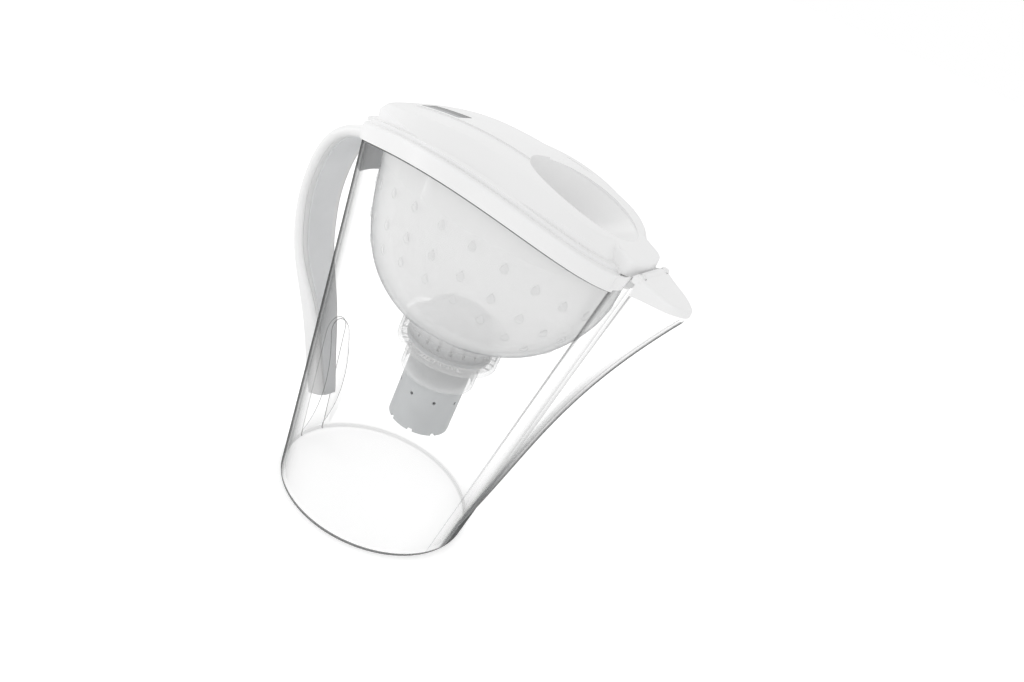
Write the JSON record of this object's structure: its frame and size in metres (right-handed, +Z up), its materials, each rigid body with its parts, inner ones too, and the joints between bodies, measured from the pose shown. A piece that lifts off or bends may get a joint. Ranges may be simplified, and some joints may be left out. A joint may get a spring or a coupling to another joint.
{
  "type": "filter pitcher",
  "caption": "Clear filter water pitcher with prow spout and hinged cover, rear handle, white arched lid with fill bowl and filter display, hanging reservoir and cartridge",
  "frame": {"origin": "centre of the base's underside, on the floor", "axes": "+Z up, +X toward the spout, the handle at -X, Y across the pitcher"},
  "size_m": [0.2702, 0.135, 0.2663],
  "materials": {
    "clear_wall": "clear polished moulding",
    "milky_wall": "milky translucent moulding",
    "white_gloss": "glossy white moulding",
    "white_satin": "satin white moulding",
    "grip_grey": "soft grey overmould",
    "cartridge_grey": "light grey moulding",
    "cartridge_dark": "grey moulding",
    "mesh_white": "woven filter mesh",
    "carbon_grains": "packed black grains",
    "mineral_beads": "packed beige beads",
    "seal_rubber": "soft pale rubber",
    "steel_pin": "drawn steel",
    "lens_dark": "smoked glossy window",
    "display_grey": "display glass",
    "board_green": "circuit board",
    "cell_steel": "cell can",
    "key_grey": "rubber key"
  },
  "bodies": {
    "jug": {"jug_body": "clear_wall", "rim_collar": "white_gloss", "handle_shell": "white_gloss", "handle_trim": "white_satin", "handle_grip": "grip_grey", "handle_root_plate": "grip_grey"},
    "spout_cover": {"spout_cover": "white_gloss", "spout_cover_pin": "steel_pin"},
    "reservoir": {"reservoir": "milky_wall"},
    "cartridge": {"cartridge_body": "cartridge_grey", "cartridge_base": "cartridge_grey", "lower_screen": "mesh_white", "carbon_bed": "carbon_grains", "mineral_bed": "mineral_beads", "upper_screen": "mesh_white", "cartridge_head": "cartridge_dark", "cartridge_seal": "seal_rubber"},
    "lid": {"lid_shell": "white_gloss", "fill_flap_pin": "steel_pin", "indicator_lens": "lens_dark", "indicator_case": "white_satin", "indicator_display": "display_grey", "indicator_board": "board_green", "button_cell": "cell_steel"},
    "fill_flap": {"fill_flap": "white_satin"},
    "battery_door": {"battery_door": "white_satin"},
    "reset_key": {"reset_key": "key_grey"}
  },
  "joints": [
    {"name": "spout_cover_hinge", "type": "hinge", "parent": "jug", "child": "spout_cover", "pos_m": [0.1103, 0, 0.2424], "axis": [0, -1, 0], "range_deg": [0, 55]},
    {"name": "reservoir_lift", "type": "slide", "parent": "jug", "child": "reservoir", "axis": [0, 0, 1], "range_m": [0, 0.19]},
    {"name": "cartridge_pull", "type": "slide", "parent": "reservoir", "child": "cartridge", "axis": [0, 0, 1], "range_m": [0, 0.04]},
    {"name": "lid_lift", "type": "slide", "parent": "reservoir", "child": "lid", "axis": [0, 0, 1], "range_m": [0, 0.06]},
    {"name": "fill_flap_hinge", "type": "hinge", "parent": "lid", "child": "fill_flap", "pos_m": [0.02237, 0, 0.24148], "axis": [0, 1, 0], "range_deg": [0, 65], "stiffness_Nm_per_rad": 0.0003},
    {"name": "battery_door_turn", "type": "hinge", "parent": "lid", "child": "battery_door", "pos_m": [-0.05642, 0, 0.24634], "axis": [-0.19, 0, 0.9818], "range_deg": [0, 30]},
    {"name": "reset_key_press", "type": "slide", "parent": "lid", "child": "reset_key", "axis": [-0.19, 0, 0.9818], "range_m": [0, 0.001], "stiffness_N_per_m": 300}
  ]
}
